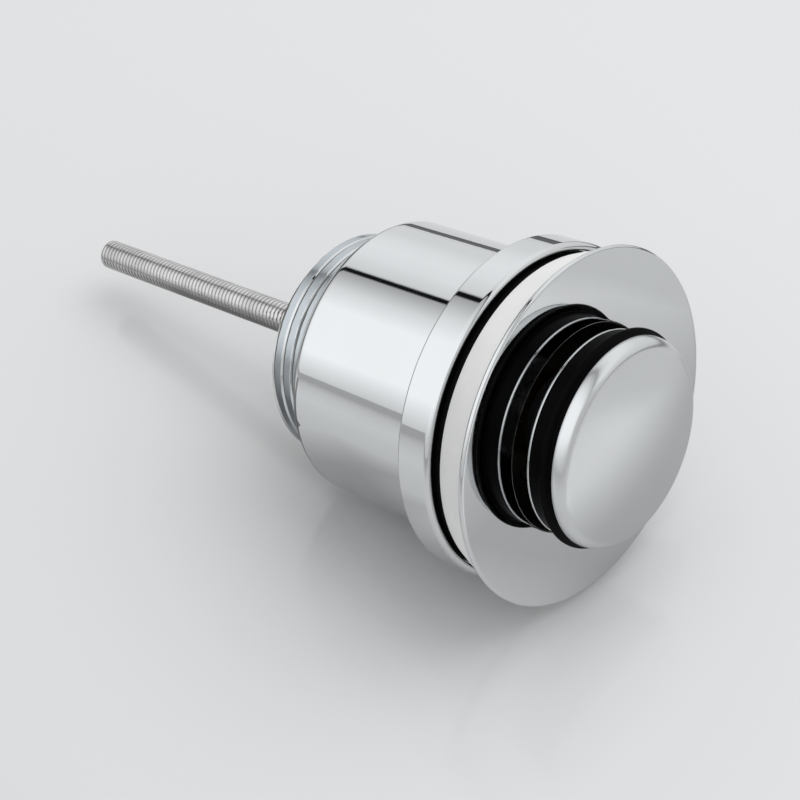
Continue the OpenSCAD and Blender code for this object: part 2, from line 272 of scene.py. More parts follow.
class WasteFinish(bpy.types.PropertyGroup):
    """Colours of the finishes."""

    chrome: FloatVectorProperty(
        name="Chrome", description="Colour of the bright plating", subtype="COLOR",
        default=(0.61, 0.622, 0.63))
    satin: FloatVectorProperty(
        name="Thread", description="Colour of the plating on the outlet thread", subtype="COLOR",
        default=(0.44, 0.475, 0.50))
    # Painted shade: this dark colour darkens the insides of the tubes, the rounding of the plug hole and the
    # outlet thread's grooves
    bore: FloatVectorProperty(
        name="Bore", description="Colour of the dull metal inside the tubes", subtype="COLOR",
        default=(0.10, 0.095, 0.085))
    steel: FloatVectorProperty(
        name="Steel", description="Colour of the rod and nuts", subtype="COLOR", default=(0.59, 0.585, 0.58))
    brass: FloatVectorProperty(
        name="Brass", description="Colour of the cartridge", subtype="COLOR", default=(0.45, 0.32, 0.16))
    white_rubber: FloatVectorProperty(
        name="White rubber", description="Colour of the flange gasket", subtype="COLOR",
        default=(0.80, 0.80, 0.79))
    black_rubber: FloatVectorProperty(
        name="Black rubber", description="Colour of the seals", subtype="COLOR",
        default=(0.0015, 0.0015, 0.0018))
    black_plastic: FloatVectorProperty(
        name="Black plastic", description="Colour of the bush", subtype="COLOR",
        default=(0.016, 0.016, 0.018))
    acetal: FloatVectorProperty(
        name="Acetal", description="Colour of the push mechanism", subtype="COLOR",
        default=(0.72, 0.71, 0.66))
    floor: FloatVectorProperty(
        name="Floor", description="Colour of the studio floor", subtype="COLOR", default=(0.58, 0.58, 0.585))


def filleted(corners, closed=True):
    """Profile of (x, r) points: straight runs between corners, each rounded by an arc tangent to both runs.

    A corner is (x, r, fillet) or (x, r, fillet, rings), where rings counts the even steps of the next run.
    """
    points = np.array([corner[:2] for corner in corners], float)
    towards_last = np.roll(points, 1, axis=0) - points
    towards_next = np.roll(points, -1, axis=0) - points
    starts, ends, arcs = [], [], []
    for corner, point, back, ahead in zip(corners, points, towards_last, towards_next):
        back = back / np.linalg.norm(back)
        ahead = ahead / np.linalg.norm(ahead)
        fillet = corner[2]
        if fillet <= 0:
            arcs.append(point[None, :])
            starts.append(point)
            ends.append(point)
            continue
        half = math.acos(max(-1.0, min(1.0, float(back @ ahead)))) / 2
        middle = (back + ahead) / np.linalg.norm(back + ahead)
        centre = point + middle * fillet / math.sin(half)
        first = point + back * fillet / math.tan(half)
        last = point + ahead * fillet / math.tan(half)
        begin = math.atan2(*(first - centre)[::-1])
        sweep = math.atan2(*(last - centre)[::-1]) - begin
        sweep = (sweep + math.pi) % FULL_TURN - math.pi
        angle = begin + sweep * np.linspace(0, 1, ARC_STEPS)
        arcs.append(centre + fillet * np.stack([np.cos(angle), np.sin(angle)], axis=1))
        starts.append(first)
        ends.append(last)
    rows = []
    count = len(corners)
    for i in range(count):
        rows.append(arcs[i])
        if closed or i < count - 1:
            steps = RUN_STEPS if len(corners[i]) < 4 else np.linspace(0, 1, corners[i][3] + 2)[1:-1]
            rows.append(ends[i] + (starts[(i + 1) % count] - ends[i]) * steps[:, None])
    return np.concatenate(rows)


def revolve(path, around, closed=True, shape=None):
    """Surface of revolution about X: y = r cos(angle), z = r sin(angle).

    r comes from the path or from shape(x, r, angle). An open path starts and ends on the axis, where one pole
    vertex closes each end.
    """
    poles = None if closed else path[[0, -1]]
    rings = path if closed else path[1:-1]
    angle = np.arange(around) * FULL_TURN / around
    x = np.repeat(rings[:, :1], around, axis=1)
    r = np.repeat(rings[:, 1:], around, axis=1)
    if shape is not None:
        r = shape(x, r, angle[None, :])
    vertices = np.stack([x, r * np.cos(angle), r * np.sin(angle)], axis=2).reshape(-1, 3)
    count = len(rings)
    row = np.arange(count if closed else count - 1)[:, None] * around
    next_row = (row + around) % (count * around)
    column = np.arange(around)[None, :]
    next_column = (column + 1) % around
    quads = np.stack([row + column, next_row + column, next_row + next_column, row + next_column], axis=2)
    faces = [quads.reshape(-1, 4)]
    if poles is not None:
        top = len(vertices)
        vertices = np.concatenate([vertices, [[poles[0][0], 0, 0], [poles[1][0], 0, 0]]])
        first = np.arange(around)
        last = first + (count - 1) * around
        turn = (first + 1) % around
        faces.append(np.stack([np.full(around, top), first, turn], axis=1))
        faces.append(np.stack([np.full(around, top + 1), last[turn], last], axis=1))
    return outward(vertices, faces)


def outward(vertices, faces):
    """The same surface with every face turned outward, judged by the sign of the volume it encloses."""
    volume = 0.0
    for group in faces:
        corner = vertices[group]
        for k in range(1, group.shape[1] - 1):
            volume += np.einsum("ij,ij->i", corner[:, 0], np.cross(corner[:, k], corner[:, k + 1])).sum()
    if volume < 0:
        faces = [group[:, ::-1] for group in faces]
    return vertices, faces


def capped_sweep(rings, middles):
    """Closed surface through equal rings of points.

    Four-sided faces join the rings, and a fan to its middle closes each end.
    """
    count, around = rings.shape[:2]
    vertices = np.concatenate([rings.reshape(-1, 3), middles])
    row = np.arange(count - 1)[:, None] * around
    column = np.arange(around)[None, :]
    turn = (column + 1) % around
    quads = np.stack([row + column, row + around + column, row + around + turn, row + turn], axis=2)
    first = np.arange(around)
    following = (first + 1) % around
    last = (count - 1) * around
    hub = count * around
    foot = np.stack([np.full(around, hub), first, following], axis=1)
    head = np.stack([np.full(around, hub + 1), last + following, last + first], axis=1)
    return outward(vertices, [quads.reshape(-1, 4), foot, head])


def bar(section, rise, angle):
    """Closed section of (x, across) points carried outward along the radius at an angle.

    It goes from rise[0] to rise[1], with y = along cos(angle) - across sin(angle) and
    z = along sin(angle) + across cos(angle).
    """
    def place(x, along, across):
        y = along * math.cos(angle) - across * math.sin(angle)
        z = along * math.sin(angle) + across * math.cos(angle)
        return np.stack(np.broadcast_arrays(x, y, z), axis=-1)

    rows = np.linspace(*rise, BAR_ROWS)
    rings = place(section[None, :, 0], rows[:, None], section[None, :, 1])
    middle = section.mean(axis=0)
    return capped_sweep(rings, place(middle[0], np.array(rise), middle[1]))


def slotted_tube(outer, inner, foot, top, slots, length, height, place):
    """Tube wall with stadium slots.

    A sector's grid goes from the slot's outline (v = 0) to the sector's edge (v = 1). Both are read along the
    same rays from the slot's middle, first on the outer radius, then on the inner one.
    """
    half_arc = FULL_TURN / len(slots) * outer / 2
    upper = math.atan2(top - place, half_arc)
    lower = math.atan2(place - foot, half_arc)
    ray = np.concatenate([
        np.linspace(-lower, upper, SLOT_SIDE_RAYS, endpoint=False),
        np.linspace(upper, math.pi - upper, SLOT_END_RAYS, endpoint=False),
        np.linspace(math.pi - upper, math.pi + lower, SLOT_SIDE_RAYS, endpoint=False),
        np.linspace(math.pi + lower, FULL_TURN - lower, SLOT_END_RAYS, endpoint=False)])
    cos, sin = np.cos(ray), np.sin(ray)
    end_radius = height / 2
    straight = length / 2 - end_radius
    flat = end_radius / np.maximum(np.abs(sin), TINY)
    curved = straight * np.abs(cos) + np.sqrt(np.maximum(end_radius ** 2 - (straight * sin) ** 2, 0))
    slot_reach = np.where(np.abs(flat * cos) <= straight, flat, curved)
    to_side = half_arc / np.maximum(np.abs(cos), TINY)
    rise = np.where(sin > 0, top - place, place - foot)
    edge_reach = np.minimum(to_side, rise / np.maximum(np.abs(sin), TINY))
    v = np.linspace(0, 1, SLOT_ROWS)[:, None] ** SLOT_CROWDING
    far = slot_reach + (edge_reach - slot_reach) * v
    arc = far * cos / outer
    x = place + far * sin
    rays = len(ray)
    block = SLOT_ROWS * rays
    row = np.arange(SLOT_ROWS - 1)[:, None] * rays
    column = np.arange(rays)[None, :]
    turn = (column + 1) % rays
    wall = np.stack([row + column, row + turn, row + rays + turn, row + rays + column], axis=2).reshape(-1, 4)
    reveal = np.stack([column, column + block, turn + block, turn], axis=2).reshape(-1, 4)
    edge = np.arange(rays)
    next_edge = (edge + 1) % rays
    at_end = edge_reach * np.abs(sin) >= rise - ROUNDING
    on_rim = at_end & at_end[next_edge] & (np.sign(sin) == np.sign(sin[next_edge]))
    first = (SLOT_ROWS - 1) * rays + edge
    second = (SLOT_ROWS - 1) * rays + next_edge
    rim = np.stack([first, second, second + block, first + block], axis=1)[on_rim]
    vertices, quads = [], []
    for number, middle in enumerate(slots):
        angle = middle + arc
        for radius in (outer, inner):
            grid = np.stack([x, radius * np.cos(angle), radius * np.sin(angle)], axis=2)
            vertices.append(grid.reshape(-1, 3))
        shift = number * 2 * block
        quads += [wall + shift, wall[:, ::-1] + shift + block, reveal + shift, rim + shift]
    return outward(np.concatenate(vertices), [np.concatenate(quads)])


def coil(foot, top, mean, wire, turns):
    """Round wire along a helix: x = f(t), y = mean cos(angle), z = mean sin(angle), with angle = turns t.

    f climbs more slowly near both ends, where the turns close up.
    """
    t = np.linspace(0, 1, int(turns * COIL_STEPS))
    angle = FULL_TURN * turns * t
    climb = t - COIL_CLOSING * np.sin(FULL_TURN * t) / FULL_TURN
    x = foot + wire / 2 + climb * (top - foot - wire)
    centre = np.stack([x, mean * np.cos(angle), mean * np.sin(angle)], axis=1)
    tangent = np.gradient(centre, axis=0)
    tangent /= np.linalg.norm(tangent, axis=1, keepdims=True)
    radial = np.stack([np.zeros_like(angle), np.cos(angle), np.sin(angle)], axis=1)
    side = np.cross(tangent, radial)
    beta = (np.arange(WIRE_POINTS) * FULL_TURN / WIRE_POINTS)[None, :, None]
    ring = np.cos(beta) * radial[:, None, :] + np.sin(beta) * side[:, None, :]
    return capped_sweep(centre[:, None, :] + wire / 2 * ring, centre[[0, -1]])


def box_section(half_x, half_across, corner, middle):
    """Rounded rectangle of (x, across) points about (middle, 0)."""
    return filleted([
        (middle - half_x, -half_across, corner), (middle + half_x, -half_across, corner),
        (middle + half_x, half_across, corner), (middle - half_x, half_across, corner)])


def spread(first, count):
    """Angles of like pieces set evenly round the axis, from the first one, which is in degrees."""
    return [math.radians(first + 360 / count * number) for number in range(count)]


def hexagon(across_flats):
    """shape() for revolve: the outer rings are cut down to a hexagon with corners up and down."""
    flat = across_flats / 2
    step = math.pi / 3

    def shape(x, r, angle):
        turned = np.mod(angle - step / 2, step) - step / 2
        return np.where(r > HEXAGON_FROM * flat, np.minimum(r, flat / np.cos(turned)), r)

    return shape


def nut(foot, top, across_flats, bore):
    """Hexagon nut: a bevelled disc turned about X and cut down to six flats."""
    corner = across_flats / math.sqrt(3)
    face = across_flats * NUT_FACE
    bevel = (corner - face) * math.tan(NUT_BEVEL)
    edge = NUT_BORE_EDGE
    profile = filleted([
        (foot, bore + edge, 0), (foot, face, 0), (foot + bevel, corner, 0, NUT_RINGS),
        (top - bevel, corner, 0), (top, face, 0), (top, bore + edge, 0), (top - edge, bore, 0),
        (foot + edge, bore, 0)])
    return revolve(profile, NUT_COLUMNS, shape=hexagon(across_flats))


BODY_OF = {
    "flange": "upper_body", "flange_gasket": "upper_body", "cartridge_sleeve": "upper_body",
    "cartridge_nut": "upper_body", "return_spring": "upper_body", "clamp_rod": "upper_body",
    "rod_lock_nut": "upper_body", "plug_cap": "plug", "plug_seal": "plug", "plug_carrier": "plug",
    "body_gasket": "gasket", "lower_body": "lower_body", "clamp_nut": "lower_body",
}


def piece(name, shells, node, material, values=None):
    """One mesh object from closed shells in millimetres.

    It rides the node's body and stands for that CAD node. values holds functions of (x, r, angle) that give a
    number for each vertex.
    """
    vertices, loops, sizes, offset = [], [], [], 0
    for points, faces in shells:
        vertices.append(points)
        for group in faces:
            loops.append((group + offset).ravel())
            sizes.append(np.full(len(group), group.shape[1]))
        offset += len(points)
    vertices = np.concatenate(vertices)
    loops = np.concatenate(loops)
    sizes = np.concatenate(sizes)
    starts = np.concatenate([[0], np.cumsum(sizes)[:-1]])
    mesh = bpy.data.meshes.new(name)
    mesh.vertices.add(len(vertices))
    mesh.vertices.foreach_set("co", (vertices * MM).astype(np.float32).ravel())
    mesh.loops.add(len(loops))
    mesh.loops.foreach_set("vertex_index", loops.astype(np.int32))
    mesh.polygons.add(len(sizes))
    mesh.polygons.foreach_set("loop_start", starts.astype(np.int32))
    mesh.update(calc_edges=True)
    mesh.polygons.foreach_set("use_smooth", np.ones(len(sizes), bool))
    mesh.set_sharp_from_angle(angle=SHARP_ANGLE)
    x, y, z = vertices.T
    for key, value_at in (values or {}).items():
        layer = mesh.attributes.new(key, "FLOAT", "POINT")
        layer.data.foreach_set("value", value_at(x, np.hypot(y, z), np.arctan2(z, y)).astype(np.float32))
    mesh.materials.append(material)
    made = bpy.data.objects.new(name, mesh)
    bpy.context.scene.collection.objects.link(made)
    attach(made, BODY_OF[node])
    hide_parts(node)
    return made


class Nodes:
    """Short-hand for filling one node tree."""

    def __init__(self, tree):
        self.tree = tree

    def add(self, kind, inputs=None, **settings):
        """A node with its settings, and its input sockets set to values or linked to other nodes' sockets."""
        made = self.tree.nodes.new(kind)
        for key, value in settings.items():
            setattr(made, key, value)
        for key, value in (inputs or {}).items():
            if isinstance(value, bpy.types.NodeSocket):
                self.tree.links.new(value, made.inputs[key])
            else:
                made.inputs[key].default_value = value
        return made

    def math(self, operation, *values):
        """Result of a math node."""
        return self.add("ShaderNodeMath", dict(enumerate(values)), operation=operation).outputs[0]

    def noise(self, vector, scale, detail=3.0, roughness=0.55):
        """Value of a noise texture."""
        return self.add("ShaderNodeTexNoise", {
            "Vector": vector, "Scale": scale, "Detail": detail, "Roughness": roughness}).outputs["Fac"]

    def span(self, value, low, high, to_low, to_high):
        """Value carried from one range to another and kept inside it."""
        made = self.add("ShaderNodeMapRange", {
            "Value": value, "From Min": low, "From Max": high, "To Min": to_low, "To Max": to_high})
        return made.outputs[0]

    def mix(self, factor, a, b):
        """Colour between a and b."""
        made = self.add("ShaderNodeMix", {"Factor": factor}, data_type="RGBA")
        for key, value in ((6, a), (7, b)):
            if isinstance(value, bpy.types.NodeSocket):
                self.tree.links.new(value, made.inputs[key])
            else:
                made.inputs[key].default_value = (*value, 1.0)
        return made.outputs[2]


def new_group(name, inputs, outputs):
    """Empty shader node group with its sockets, and its input and output nodes."""
    tree = bpy.data.node_groups.new(name, "ShaderNodeTree")
    for key, value in inputs:
        tree.interface.new_socket(key, in_out="INPUT", socket_type="NodeSocketFloat").default_value = value
    for key in outputs:
        tree.interface.new_socket(key, in_out="OUTPUT", socket_type="NodeSocketFloat")
    nodes = Nodes(tree)
    return tree, nodes, nodes.add("NodeGroupInput"), nodes.add("NodeGroupOutput")


def handling_group():
    """Traces of handling: a soft smudge mask and the height of fine hairlines."""
    tree, n, given, result = new_group("Handling", [("Size", 30.0)], ["Smudge", "Hairline"])
    place = n.add("ShaderNodeTexCoord").outputs["Object"]
    cloud = n.noise(place, n.math("MULTIPLY", given.outputs["Size"], 1.4), 4.0, 0.6)
    smudge = n.span(cloud, 0.42, 0.68, 0.0, 1.0)
    stretched = n.add("ShaderNodeMapping", {"Vector": place, "Scale": (0.25, 1.0, 0.06)}).outputs[0]
    hairline = n.noise(stretched, n.math("MULTIPLY", given.outputs["Size"], 90.0), 2.0, 0.5)
    tree.links.new(smudge, result.inputs["Smudge"])
    tree.links.new(hairline, result.inputs["Hairline"])
    return tree


def turning_group():
    """Turning marks: rings that change along the axis and hardly round it."""
    tree, n, given, result = new_group("Turning marks", [("Fineness", 4000.0)], ["Height", "Shade"])
    place = n.add("ShaderNodeTexCoord").outputs["Object"]
    along = n.add("ShaderNodeMapping", {"Vector": place, "Scale": (1.0, 0.01, 0.01)}).outputs[0]
    rings = n.noise(along, given.outputs["Fineness"], 2.0, 0.6)
    patch = n.noise(place, 160.0, 3.0, 0.6)
    tree.links.new(rings, result.inputs["Height"])
    tree.links.new(n.span(patch, 0.35, 0.7, 0.0, 1.0), result.inputs["Shade"])
    return tree


def moulding_group():
    """Moulded surface: fine grain and a slow change of shade."""
    tree, n, given, result = new_group("Moulding", [("Grain", 5000.0)], ["Grain", "Shade"])
    place = n.add("ShaderNodeTexCoord").outputs["Object"]
    grain = n.noise(place, given.outputs["Grain"], 2.0, 0.5)
    shade = n.noise(place, 90.0, 4.0, 0.6)
    tree.links.new(grain, result.inputs["Grain"])
    tree.links.new(n.span(shade, 0.35, 0.7, 0.0, 1.0), result.inputs["Shade"])
    return tree


GROUPS = {}


def shared(name):
    """The node group of that name, made once."""
    makers = {"Handling": handling_group, "Turning marks": turning_group, "Moulding": moulding_group}
    if name not in GROUPS:
        GROUPS[name] = makers[name]()
    return GROUPS[name]


def new_material(name):
    """Material with an empty Principled surface, as (material, nodes, principled)."""
    material = bpy.data.materials.new(name)
    material.use_nodes = True
    n = Nodes(material.node_tree)
    return material, n, material.node_tree.nodes["Principled BSDF"]


def bump(n, height, strength, distance):
    """Normal from a height."""
    return n.add("ShaderNodeBump", {"Height": height, "Strength": strength, "Distance": distance}).outputs[0]


def shaded(colour, factor):
    """Colour made darker or lighter."""
    return tuple(min(1.0, channel * factor) for channel in colour)


# Depth of a bump, in metres
BUMP_DEPTH = 0.00005
# Chrome: shade of a smudge, roughness clean and smudged, and what a thread, a bore and the cap add to it
SMUDGE_SHADE = 0.975
CHROME_ROUGH = (0.02, 0.05)
THREAD_ROUGH = 0.16
BORE_ROUGH = 0.4
CAP_ROUGH = 0.18
HAIRLINE_STRENGTH = 0.012
# Other metals: shade of worn patches, painted shade in a groove and how fully it covers, spread of roughness,
# turning marks
WORN_SHADE = 0.8
PAINTED_GROOVE_SHADE = 0.2
PAINTED_GROOVE_COVER = 0.8
METAL_ROUGH_SPREAD = 0.12
TURNING_STRENGTH = 0.05
METALS = {
    "brass": dict(name="Brass", colour="brass", shade=1.0, rough=0.22, fineness=5000.0),
    "steel": dict(name="Steel", colour="steel", shade=1.0, rough=0.07, fineness=3000.0),
    "spring_steel": dict(name="Spring steel", colour="steel", shade=1.3, rough=0.2, fineness=6000.0)}
# Rubber and plastic: shade of darker patches and spread of roughness
MOULDED_SHADE = 0.93
MOULDED_ROUGH_SPREAD = 0.06
MOULDED = {
    "white_rubber": dict(name="White rubber", rough=0.42, grain=3000.0, strength=0.05, gloss=0.4),
    "black_rubber": dict(name="Black rubber", rough=0.30, grain=4000.0, strength=0.03, gloss=0.03),
    "black_plastic": dict(name="Black plastic", rough=0.25, grain=3000.0, strength=0.06, gloss=0.3),
    "acetal": dict(name="Acetal", rough=0.35, grain=5000.0, strength=0.05, gloss=0.5)}


def chrome_material(finish):
    """Bright plating with faint smudges.

    Attributes turn it into the softer shine of the cap, the plating of a thread or the dull metal of a bore,
    whose dark colour is painted shade.
    """
    material, n, skin = new_material("Chrome")
    traces = n.add("ShaderNodeGroup", node_tree=shared("Handling"))
    satin = n.add("ShaderNodeAttribute", attribute_name="satin").outputs["Fac"]
    soft = n.add("ShaderNodeAttribute", attribute_name="soft").outputs["Fac"]
    bore = n.add("ShaderNodeAttribute", attribute_name="bore").outputs["Fac"]
    plain = n.mix(traces.outputs["Smudge"], finish.chrome, shaded(finish.chrome, SMUDGE_SHADE))
    link = n.tree.links.new
    # Painted shade: where the bore attribute is set, the dark bore colour stands in for the shade inside
    # tubes and grooves
    link(n.mix(bore, n.mix(satin, plain, finish.satin), finish.bore), skin.inputs["Base Color"])
    bright = n.span(traces.outputs["Smudge"], 0.0, 1.0, *CHROME_ROUGH)
    dull = n.math("ADD", n.math("MULTIPLY", satin, THREAD_ROUGH), n.math("MULTIPLY", bore, BORE_ROUGH))
    rough = n.math("ADD", n.math("ADD", bright, dull), n.math("MULTIPLY", soft, CAP_ROUGH))
    link(rough, skin.inputs["Roughness"])
    link(bump(n, traces.outputs["Hairline"], HAIRLINE_STRENGTH, BUMP_DEPTH), skin.inputs["Normal"])
    skin.inputs["Metallic"].default_value = 1.0
    return material


def metal_material(name, colour, rough, fineness):
    """Steel or brass with turning marks and painted shade in the grooves of a thread."""
    material, n, skin = new_material(name)
    marks = n.add("ShaderNodeGroup", {"Fineness": fineness}, node_tree=shared("Turning marks"))
    groove = n.add("ShaderNodeAttribute", attribute_name="groove").outputs["Fac"]
    shade = marks.outputs["Shade"]
    link = n.tree.links.new
    worn = n.mix(shade, colour, shaded(colour, WORN_SHADE))
    # Painted shade: the groove attribute darkens a thread's grooves
    dark = n.math("MULTIPLY", groove, PAINTED_GROOVE_COVER)
    link(n.mix(dark, worn, shaded(colour, PAINTED_GROOVE_SHADE)), skin.inputs["Base Color"])
    link(n.span(shade, 0.0, 1.0, rough, rough + METAL_ROUGH_SPREAD), skin.inputs["Roughness"])
    link(bump(n, marks.outputs["Height"], TURNING_STRENGTH, BUMP_DEPTH), skin.inputs["Normal"])
    skin.inputs["Metallic"].default_value = 1.0
    return material


def moulded_material(name, colour, rough, grain, strength, gloss):
    """Rubber or plastic with a moulded grain."""
    material, n, skin = new_material(name)
    mould = n.add("ShaderNodeGroup", {"Grain": grain}, node_tree=shared("Moulding"))
    shade = mould.outputs["Shade"]
    link = n.tree.links.new
    link(n.mix(shade, colour, shaded(colour, MOULDED_SHADE)), skin.inputs["Base Color"])
    link(n.span(shade, 0.0, 1.0, rough, rough + MOULDED_ROUGH_SPREAD), skin.inputs["Roughness"])
    link(bump(n, mould.outputs["Grain"], strength, BUMP_DEPTH), skin.inputs["Normal"])
    skin.inputs["Specular IOR Level"].default_value = gloss
    return material


MATERIALS = {}


def material_for(slot, finish):
    """The material of one of the record's slots, made once."""
    if slot in MATERIALS:
        return MATERIALS[slot]
    if slot == "chrome":
        made = chrome_material(finish)
    elif slot in METALS:
        metal = METALS[slot]
        colour = shaded(getattr(finish, metal["colour"]), metal["shade"])
        made = metal_material(metal["name"], colour, metal["rough"], metal["fineness"])
    else:
        made = moulded_material(colour=getattr(finish, slot), **MOULDED[slot])
    MATERIALS[slot] = made
    return made


class WASTE_OT_flange(bpy.types.Operator):
    """Build the dished flange with its slotted tube and spider"""

    bl_idname = "waste.flange"
    bl_label = "Flange"

    def execute(self, context):
        s, finish = sizes_mm(context), context.scene.waste_finish
        radius, lip = end_of("flange", 2), end_of("flange")
        gasket_top, tube_end = end_of("flange_gasket"), foot_of("flange")
        hole = lip - s.dish_fall
        neck = hole - FLANGE_WEB
        edge = (lip - gasket_top) * LIP_ROUNDING
        dish = filleted([
            (DISH_FOOT, s.tube_radius, 0), (neck, s.tube_radius, 0.8), (gasket_top, radius - LIP_LAND, 0.3),
            (gasket_top, radius, edge), (lip, radius, edge), (hole, s.tube_bore, s.hole_edge),
            (DISH_FOOT, s.tube_bore, 0)])
        tube = slotted_tube(
            s.tube_radius, s.tube_bore, tube_end, DISH_FOOT, spread(SLOT_PHASE, SLOT_COUNT), s.slot_length,
            s.slot_height, s.slot_place)
        hub_top = tube_end + SPIDER_HUB_LENGTH
        hub = filleted([
            (tube_end, SPIDER_BORE, 0.3), (tube_end, SPIDER_HUB, 0.5), (hub_top, SPIDER_HUB, 0.5),
            (hub_top, SPIDER_BORE, 0.3)])
        section = box_section(*SPIDER_ARM, tube_end + SPIDER_ARM_RISE)
        rise = (SPIDER_HUB - ARM_INTO_HUB, s.tube_bore + ARM_INTO_WALL)
        shells = [revolve(dish, s.around), tube, revolve(hub, NUT_COLUMNS)]
        shells += [bar(section, rise, angle) for angle in spread(ARM_PHASE, ARM_COUNT)]

        def painted_shade_in_tube(x, r, angle):
            """One on the inside of the tube and the rounding of the plug hole, which get painted shade."""
            return (r < s.tube_bore + s.hole_edge) & (x < hole - FACE_MARGIN)

        piece("flange_chrome", shells, "flange", material_for("chrome", finish), {"bore": painted_shade_in_tube})
        return {"FINISHED"}


class WASTE_OT_gaskets(bpy.types.Operator):
    """Build the white flange gasket and the black body gasket"""

    bl_idname = "waste.gaskets"
    bl_label = "Gaskets"

    def execute(self, context):
        s, finish = sizes_mm(context), context.scene.waste_finish
        top, wide = end_of("flange_gasket"), end_of("flange_gasket", 2)
        bore = s.tube_radius + GASKET_GAP
        white = filleted([
            (0, bore, 0.3), (0, wide - GASKET_TAPER, 0.3), (top, wide, 0.2), (top, wide - GASKET_LAND, 0.1),
            (top - GASKET_HOLLOW, bore, 0.3)])
        piece("flange_gasket_white", [revolve(white, s.around)], "flange_gasket",
              material_for("white_rubber", finish))
        back, outer = foot_of("body_gasket"), end_of("body_gasket", 2)
        black = filleted([
            (back, BODY_GASKET_BORE, 0.3), (back, outer, 0.3), (0, outer, 0.5), (0, BODY_GASKET_BORE, 0.3)])
        piece("body_gasket_black", [revolve(black, s.around)], "body_gasket",
              material_for("black_rubber", finish))
        return {"FINISHED"}


class WASTE_OT_plug(bpy.types.Operator):
    """Build the plug: cap, seal and carrier"""

    bl_idname = "waste.plug"
    bl_label = "Plug"

    def execute(self, context):
        s, finish = sizes_mm(context), context.scene.waste_finish
        top, radius = end_of("plug_cap"), end_of("plug_cap", 2)
        foot = end_of("plug_seal")
        rim = foot + CAP_RIM
        brim_start = radius - CAP_EDGE
        base = brim_start + CAP_EDGE * math.cos(CAP_EDGE_TURN)
        dome_rise = top - rim - CAP_EDGE * math.sin(CAP_EDGE_TURN)
        dome = (base ** 2 + dome_rise ** 2) / 2 / dome_rise
        swing = np.linspace(0, math.asin(base / dome), CROWN_RINGS)
        crown = np.stack([top - dome + dome * np.cos(swing), dome * np.sin(swing)], axis=1)
        turn = np.linspace(CAP_EDGE_TURN, 0, EDGE_RINGS)[1:]
        brim = np.stack([rim + CAP_EDGE * np.sin(turn), brim_start + CAP_EDGE * np.cos(turn)], axis=1)
        under = filleted([(rim - CAP_SEAM, radius, 0), (foot, radius, 0.2), (foot, 0, 0)], closed=False)
        cap = np.concatenate([crown, brim, under])
        piece("plug_cap_chrome", [revolve(cap, PLUG_COLUMNS, closed=False)], "plug_cap",
              material_for("chrome", finish), {"soft": lambda x, r, angle: x > foot})
        low, lip = foot_of("plug_seal"), end_of("plug_seal", 2)
        foot_radius, shoulder = s.tube_bore - SEAL_GAP, radius - SEAL_STEP
        lip_low = low + SEAL_LIP_RISE
        lip_top = lip_low + SEAL_LIP
        seal = filleted([
            (low, SEAL_BORE, 0.1), (low, foot_radius, 0.3), (lip_low, foot_radius, 0.25),
            (lip_low, lip, 0.25), (lip_top - SEAL_SLOPE[0], lip, 0.25),
            (lip_top + SEAL_SLOPE[1], shoulder, 0.2), (foot, shoulder, 0.15), (foot, SEAL_BORE, 0.1)])
        piece("plug_seal_black", [revolve(seal, PLUG_COLUMNS)], "plug_seal",
              material_for("black_rubber", finish))
        carrier_lip, carrier_foot = end_of("plug_carrier", 2), foot_of("plug_carrier")
        roof, neck = low + CARRIER_RISE, SEAL_BORE - CARRIER_GAP
        boss_foot = foot - BOSS_DEPTH
        carrier = filleted([
            (roof, STEM_BORE, 0), (roof, CARRIER_HOLLOW, 0.4),
            (carrier_foot, CARRIER_HOLLOW + CARRIER_WALL, 0.3), (carrier_foot, carrier_lip, 0.18),
            (low, carrier_lip, 0.12), (low, neck, 0), (foot, neck, 0),
            (foot, BOSS_BORE, 0), (boss_foot, BOSS_BORE, 0), (boss_foot, STEM_BORE, 0)])
        piece("plug_carrier_chrome", [revolve(carrier, PLUG_COLUMNS)], "plug_carrier",
              material_for("chrome", finish))
        return {"FINISHED"}


